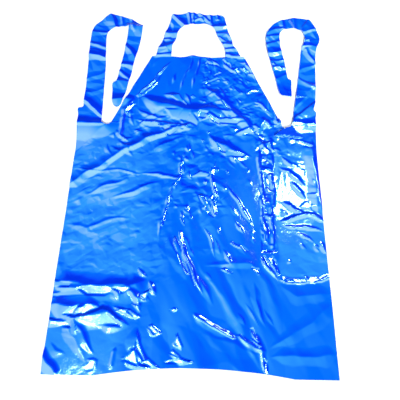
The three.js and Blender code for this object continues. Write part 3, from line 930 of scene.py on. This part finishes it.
def film_material():
    """The film's shader: colour from the vertices' painted light and shade, and grain and soft buckles as
    bump.
    """
    material = bpy.data.materials.new("blue_film")
    material.use_nodes = True
    nodes, links = material.node_tree.nodes, material.node_tree.links
    shader = nodes["Principled BSDF"]
    shader.inputs["IOR"].default_value = 1.5
    shader.inputs["Specular IOR Level"].default_value = 1.0
    shader.inputs["Specular Tint"].default_value = REFLECTION

    # The base colour holds painted light and shade, read from each vertex.
    painted_tone = nodes.new("ShaderNodeAttribute")
    painted_tone.attribute_name = "painted_tone"
    colours = nodes.new("ShaderNodeValToRGB")
    stops = colours.color_ramp.elements
    while len(stops) < len(TONES_WITH_PAINTED_LIGHT):
        stops.new(0.5)
    for stop, (tone_there, colour) in zip(stops, TONES_WITH_PAINTED_LIGHT):
        stop.position, stop.color = tone_there, colour
    links.new(painted_tone.outputs["Fac"], colours.inputs["Fac"])
    links.new(colours.outputs["Color"], shader.inputs["Base Color"])

    where = nodes.new("ShaderNodeTexCoord")
    grain = nodes.new("ShaderNodeTexNoise")
    grain.inputs["Scale"].default_value = GRAIN_SCALE
    grain.inputs["Detail"].default_value = 3.0
    links.new(where.outputs["Object"], grain.inputs["Vector"])
    buckle = nodes.new("ShaderNodeTexNoise")
    buckle.inputs["Scale"].default_value = BUCKLE_SCALE
    buckle.inputs["Detail"].default_value = 2.0
    links.new(where.outputs["Object"], buckle.inputs["Vector"])
    rough = nodes.new("ShaderNodeMapRange")
    rough.inputs["To Min"].default_value, rough.inputs["To Max"].default_value = ROUGHNESS
    links.new(buckle.outputs["Fac"], rough.inputs["Value"])
    links.new(rough.outputs["Result"], shader.inputs["Roughness"])
    fine = nodes.new("ShaderNodeBump")
    fine.inputs["Strength"].default_value = 0.12
    fine.inputs["Distance"].default_value = 0.0002
    links.new(grain.outputs["Fac"], fine.inputs["Height"])
    soft = nodes.new("ShaderNodeBump")
    soft.inputs["Strength"].default_value = 0.25
    soft.inputs["Distance"].default_value = 0.0015
    links.new(buckle.outputs["Fac"], soft.inputs["Height"])
    links.new(fine.outputs["Normal"], soft.inputs["Normal"])
    links.new(soft.outputs["Normal"], shader.inputs["Normal"])
    return material


FILM = film_material()
print("finish:", FILM.name)

# %% [markdown]
# ## Giving the film its wall
# A Geometry Nodes tree turns a creased surface with no thickness into real film. It adds the fine
# buckling that the creases leave between them, thickens the surface by one film's thickness, closes
# its edges and hands it the finish. The tree's sizes are named inputs, the same for every region.

# %% The film tree
FILM_THICKNESS = 0.2  # mm, and so are the next two
BUCKLE_HEIGHT = 0.28
BUCKLE_SIZE = 22.0


def socket(tree, name, kind, value=None, output=False):
    """Adds one named input or output to a tree."""
    item = tree.interface.new_socket(name, in_out="OUTPUT" if output else "INPUT", socket_type=kind)
    if value is not None:
        item.default_value = value
    return item


def film_tree():
    """Buckle the sheet, give it a wall, weld the edges, and hand it the finish."""
    tree = bpy.data.node_groups.new("film_wall", "GeometryNodeTree")
    socket(tree, "Geometry", "NodeSocketGeometry")
    socket(tree, "Thickness", "NodeSocketFloat", FILM_THICKNESS * MM)
    socket(tree, "Buckle Height", "NodeSocketFloat", BUCKLE_HEIGHT * MM)
    socket(tree, "Buckle Size", "NodeSocketFloat", BUCKLE_SIZE * MM)
    socket(tree, "Seed", "NodeSocketFloat", 3.0)
    socket(tree, "Geometry", "NodeSocketGeometry", output=True)
    new, link = tree.nodes.new, tree.links.new
    given = new("NodeGroupInput")
    result = new("NodeGroupOutput")

    noise = new("ShaderNodeTexNoise")
    noise.noise_dimensions = "4D"
    noise.inputs["Detail"].default_value = 1.0
    per_metre = new("ShaderNodeMath")
    per_metre.operation = "DIVIDE"
    per_metre.inputs[0].default_value = 1.0
    link(given.outputs["Buckle Size"], per_metre.inputs[1])
    link(per_metre.outputs[0], noise.inputs["Scale"])
    link(given.outputs["Seed"], noise.inputs["W"])
    height = new("ShaderNodeMath")
    height.operation = "MULTIPLY"
    link(noise.outputs[0], height.inputs[0])
    link(given.outputs["Buckle Height"], height.inputs[1])
    up = new("ShaderNodeCombineXYZ")
    link(height.outputs[0], up.inputs["Z"])
    buckled = new("GeometryNodeSetPosition")
    link(given.outputs["Geometry"], buckled.inputs["Geometry"])
    link(up.outputs["Vector"], buckled.inputs["Offset"])

    wall = new("GeometryNodeExtrudeMesh")
    wall.mode = "FACES"
    wall.inputs["Individual"].default_value = False
    straight_up = new("ShaderNodeCombineXYZ")
    straight_up.inputs["Z"].default_value = 1.0
    link(buckled.outputs["Geometry"], wall.inputs["Mesh"])
    link(straight_up.outputs["Vector"], wall.inputs["Offset"])
    link(given.outputs["Thickness"], wall.inputs["Offset Scale"])
    underside = new("GeometryNodeFlipFaces")
    link(buckled.outputs["Geometry"], underside.inputs["Mesh"])
    both = new("GeometryNodeJoinGeometry")
    link(underside.outputs["Mesh"], both.inputs["Geometry"])
    link(wall.outputs["Mesh"], both.inputs["Geometry"])
    closed = new("GeometryNodeMergeByDistance")
    closed.inputs["Distance"].default_value = 0.01 * MM
    link(both.outputs["Geometry"], closed.inputs["Geometry"])
    real = new("GeometryNodeRealizeInstances")
    link(closed.outputs["Geometry"], real.inputs["Geometry"])
    finish = new("GeometryNodeSetMaterial")
    finish.inputs["Material"].default_value = FILM
    link(real.outputs["Geometry"], finish.inputs["Geometry"])
    link(finish.outputs["Geometry"], result.inputs["Geometry"])
    return tree


FILM_TREE = film_tree()
print("film tree:", len(FILM_TREE.nodes), "nodes")

# %% [markdown]
# ## From grid to piece
# One function makes every region: it lifts the grid by the relief, notes each vertex's painted light and
# shade, runs the film tree, and keeps the result as a plain closed mesh. The painting starts at the film's
# own azure. It is painted paler where the film climbs up the apron or to the right, painted deeper where
# the film stands high, and painted paler or deeper again, patch by patch.

# %% Make a region of film
TONE_OF_FLAT_FILM = 0.46
# Painted light where the film faces the hem or the left, painted shade where it faces away
PAINTED_LIGHT_PER_SLOPE = 2.2  # for each mm that the film climbs in a mm up the apron
PAINTED_LIGHT_PER_LEAN = 1.2  # the same, in a mm to the right
# Painted shade where the film stands high
PAINTED_SHADE_PER_LIFT = -0.03  # for each mm that the film lies above 3.5 mm
MIDDLE_LIFT = 3.5
SLOPE_STEP = 1.5  # mm to each side, over which a slope is measured
SHARP_EDGE = math.radians(50.0)
PAINTED_LIGHT_AND_SHADE_PATCHES = [
    # x from, to, s from, to, margin, how much paler with painted light, or deeper with painted shade where
    # it is less than 0
    (-430, -150, 250, 700, 160, 0.2),
    (-430, -190, -60, 160, 60, 0.2),
    (-430, -340, 650, 742, 50, 0.14),
    (252, 430, 250, 700, 16, 0.16),
    (-90, 200, 120, 640, 60, -0.05),
    (203, 248, 330, 700, 8, -0.2),
    (195, 400, 664, 730, 20, -0.14),
    (246, 262, 430, 690, 6, 0.1),
    (350, 376, 430, 640, 6, 0.12),
    (379, 430, 430, 650, 5, -0.34),
    (-260, 280, 830, 1020, 50, -0.1),
    (-90, 120, 560, 720, 40, -0.05),
]


def paler(x, s):
    """How much paler the film is painted, or deeper where it is less than 0: painted light and shade, patch
    by patch.
    """
    out = np.zeros_like(x)
    for *where, amount in PAINTED_LIGHT_AND_SHADE_PATCHES:
        out += amount * patch(x, s, *where)
    return out


def painted_tone_of(x, s, z):
    """How pale the film is painted at each place, from 0 to 1: painted light and shade from its slopes, its
    height and its patches.
    """
    slope = (relief(x, s + SLOPE_STEP) - relief(x, s - SLOPE_STEP)) / (2.0 * SLOPE_STEP)
    lean = (relief(x + SLOPE_STEP, s) - relief(x - SLOPE_STEP, s)) / (2.0 * SLOPE_STEP)
    painted_tone = TONE_OF_FLAT_FILM + PAINTED_LIGHT_PER_SLOPE * slope + PAINTED_LIGHT_PER_LEAN * lean
    painted_tone += PAINTED_SHADE_PER_LIFT * (z - MIDDLE_LIFT)
    return np.clip(painted_tone + paler(x, s), 0.0, 1.0)


def quads_over(rows, columns):
    """The corners of every quad of a grid, counted row by row."""
    index = np.arange(rows * columns).reshape(rows, columns)
    return np.stack((index[:-1, :-1], index[:-1, 1:], index[1:, 1:], index[1:, :-1]), -1).reshape(-1, 4)


def with_film_wall(obj):
    """Runs the film tree on an object, and keeps its result as the object's plain mesh."""
    modifier = obj.modifiers.new("film", "NODES")
    modifier.node_group = FILM_TREE
    sizes = {"Thickness": FILM_THICKNESS * MM, "Buckle Height": BUCKLE_HEIGHT * MM}
    for item in FILM_TREE.interface.items_tree:
        if item.in_out == "INPUT" and item.name in sizes:
            modifier[item.identifier] = sizes[item.name]
    view = bpy.context.evaluated_depsgraph_get()
    solid = bpy.data.meshes.new_from_object(obj.evaluated_get(view), depsgraph=view)
    obj.modifiers.clear()
    thin, obj.data = obj.data, solid
    bpy.data.meshes.remove(thin)
    obj.data.name = obj.name


def film_piece(name, x, s):
    """A closed piece of film over a grid of x and s."""
    z = relief(x, s)
    spots = np.stack(((x - ORIGIN_X) * MM, (s - ORIGIN_S) * MM, z * MM), -1).reshape(-1, 3)
    quads = quads_over(*x.shape)
    a, b, d = (spots[quads[:, k]] for k in (0, 1, 3))
    if np.cross(b - a, d - a)[:, 2].mean() < 0.0:
        quads = quads[:, ::-1]
    mesh = bpy.data.meshes.new(name)
    mesh.from_pydata(spots.tolist(), [], quads.tolist())
    # Each vertex carries its painted light and shade as an attribute.
    shade = mesh.attributes.new("painted_tone", "FLOAT", "POINT")
    shade.data.foreach_set("value", painted_tone_of(x, s, z).reshape(-1).astype(np.float32))
    obj = bpy.data.objects.new(name, mesh)
    bpy.context.collection.objects.link(obj)
    with_film_wall(obj)
    obj.data.shade_smooth()
    obj.data.set_sharp_from_angle(angle=SHARP_EDGE)
    first, second = spots[quads[:, 2]] - spots[quads[:, 0]], spots[quads[:, 3]] - spots[quads[:, 1]]
    area = 0.5 * np.linalg.norm(np.cross(first, second), axis=1).sum()
    print(name, "faces:", len(obj.data.polygons), "m2:", round(float(area), 4), "top mm:", round(z.max(), 1))
    return obj


# %% [markdown]
# ## The regions
# Each region stands for its plain solids in the imported model, which it hides. The upper skirt is
# hung on its body; the other regions stay fixed in the frame.


upper_skirt = film_piece("upper_skirt_film", *sliced(level(HEM_FOLD), waist, skirt_side, SKIRT_CELL))
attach(upper_skirt, "skirt")
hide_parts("upper_skirt")

lower_skirt = film_piece("lower_skirt_film", *sliced(hem, level(HEM_FOLD), skirt_side, HEM_CELL))
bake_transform(lower_skirt)
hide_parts("lower_skirt")

# %% Bib and neck loop
bib = film_piece("bib_film", *sliced(level(WAIST), bib_top, bib_side, BIB_CELL))
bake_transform(bib)
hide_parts("bib")

neck_loop = film_piece("neck_loop_film", *strapped(NECK_LOOP))
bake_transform(neck_loop)
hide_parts("neck_loop_left", "neck_loop_crown", "neck_loop_right")


def tie(side, stations):
    """The tie from its root in the shoulder to the top of its free end, folded on its diagonal."""
    piece = film_piece(side + "_tie_film", *strapped(stations))
    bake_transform(piece)
    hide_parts(*(side + "_tie_" + part for part in ("root", "riser", "corner", "crown")))


def tie_end(side, stations):
    """The tie's free end, which opens out of the hairpin at its top."""
    piece = film_piece(side + "_tie_end_film", *strapped(stations))
    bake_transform(piece)
    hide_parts(side + "_tie_end")


tie("left", LEFT_TIE)
tie("right", RIGHT_TIE)
tie_end("left", LEFT_END)
tie_end("right", RIGHT_END)

# %% [markdown]
# ## The table and the light
# The apron lies on a plain white table. Glossy film shows the lamps in it, so they are the other half
# of its look. A wide soft key light from the hem side brings out its blue, and a large panel beyond the
# hem shows in every flank that faces it. A blue-tinted panel at the left keeps the dark flanks blue.
# The two small lamps, whose places the plates were turned to, draw the crisp white flashes.

# %% Table
TABLE_REACH = 6.0  # m
table_mesh = bpy.data.meshes.new("table")
table_corners = [(a * TABLE_REACH, b * TABLE_REACH, 0.0) for a, b in ((-1, -1), (1, -1), (1, 1), (-1, 1))]
table_mesh.from_pydata(table_corners, [], [(0, 1, 2, 3)])
table = bpy.data.objects.new("table", table_mesh)
bpy.context.collection.objects.link(table)
table_paint = bpy.data.materials.new("table_paint")
table_paint.use_nodes = True
paint = table_paint.node_tree.nodes["Principled BSDF"].inputs
paint["Base Color"].default_value = (0.93, 0.94, 0.95, 1.0)
paint["Roughness"].default_value = 0.9
paint["Specular IOR Level"].default_value = 0.1
table_mesh.materials.append(table_paint)
print("table, m to each side:", TABLE_REACH)


# %% Lights
def lamp(name, at, towards, size, watts, colour=(1.0, 1.0, 1.0)):
    """A rectangular lamp at a point in metres, turned to face another."""
    data = bpy.data.lights.new(name, "AREA")
    data.shape = "RECTANGLE"
    data.size, data.size_y = size
    data.energy = watts
    data.color = colour
    obj = bpy.data.objects.new(name, data)
    facing = Vector(towards) - Vector(at)
    obj.matrix_world = Matrix.Translation(at) @ facing.to_track_quat("-Z", "Y").to_matrix().to_4x4()
    bpy.context.collection.objects.link(obj)


KEY_FROM = (0.2, -0.76, 0.62)
key_data = bpy.data.lights.new("key", "SUN")
key_data.energy = 4.1
key_data.angle = math.radians(20.0)
key = bpy.data.objects.new("key", key_data)
key.matrix_world = Vector(KEY_FROM).to_track_quat("Z", "Y").to_matrix().to_4x4()
bpy.context.collection.objects.link(key)

lamp("panel", (-0.45, -1.55, 1.6), (-0.15, -0.2, 0.0), (0.9, 0.8), 12.0, (0.8, 0.93, 1.0))
lamp("panel_left", (-1.2, 0.3, 1.6), (-0.3, 0.1, 0.0), (0.45, 1.8), 1.0, (0.15, 0.5, 1.0))
lamp("glint_hem", GLINT, (-0.16, -0.55, 0.0), (0.2, 0.18), 6.2)
lamp("window", WINDOW, (0.29, -0.08, 0.0), (0.2, 0.43), 16.8)
print("lamps:", sorted(light.name for light in bpy.data.lights))

# %% [markdown]
# ## The room
# The film mirrors a room that is pale low down and dark overhead, which keeps flat film deep blue. The
# Light Path node tells the camera's own rays from mirrored ones, so behind the table the camera sees a
# plain white backdrop instead.

# %% Room
world = bpy.data.worlds.new("studio")
bpy.context.scene.world = world
world.use_nodes = True
sky, sky_link = world.node_tree.nodes, world.node_tree.links.new
looking = sky.new("ShaderNodeTexCoord")
parts_of = sky.new("ShaderNodeSeparateXYZ")
sky_link(looking.outputs["Generated"], parts_of.inputs["Vector"])
falloff = sky.new("ShaderNodeMapRange")
falloff.interpolation_type = "SMOOTHSTEP"
for name, value in (("From Min", 0.05), ("From Max", 0.45), ("To Min", 0.5), ("To Max", 0.05)):
    falloff.inputs[name].default_value = value
sky_link(parts_of.outputs["Z"], falloff.inputs["Value"])
room = sky["Background"]
sky_link(falloff.outputs["Result"], room.inputs["Strength"])
room.inputs["Color"].default_value = (0.3, 0.68, 1.0, 1.0)
backdrop = sky.new("ShaderNodeBackground")
backdrop.inputs["Color"].default_value = (0.96, 0.97, 0.98, 1.0)
seen = sky.new("ShaderNodeLightPath")
either = sky.new("ShaderNodeMixShader")
sky_link(seen.outputs["Is Camera Ray"], either.inputs["Fac"])
sky_link(room.outputs["Background"], either.inputs[1])
sky_link(backdrop.outputs["Background"], either.inputs[2])
sky_link(either.outputs["Shader"], sky["World Output"].inputs["Surface"])
bpy.context.scene.view_settings.view_transform = "Standard"
print("room:", world.name)
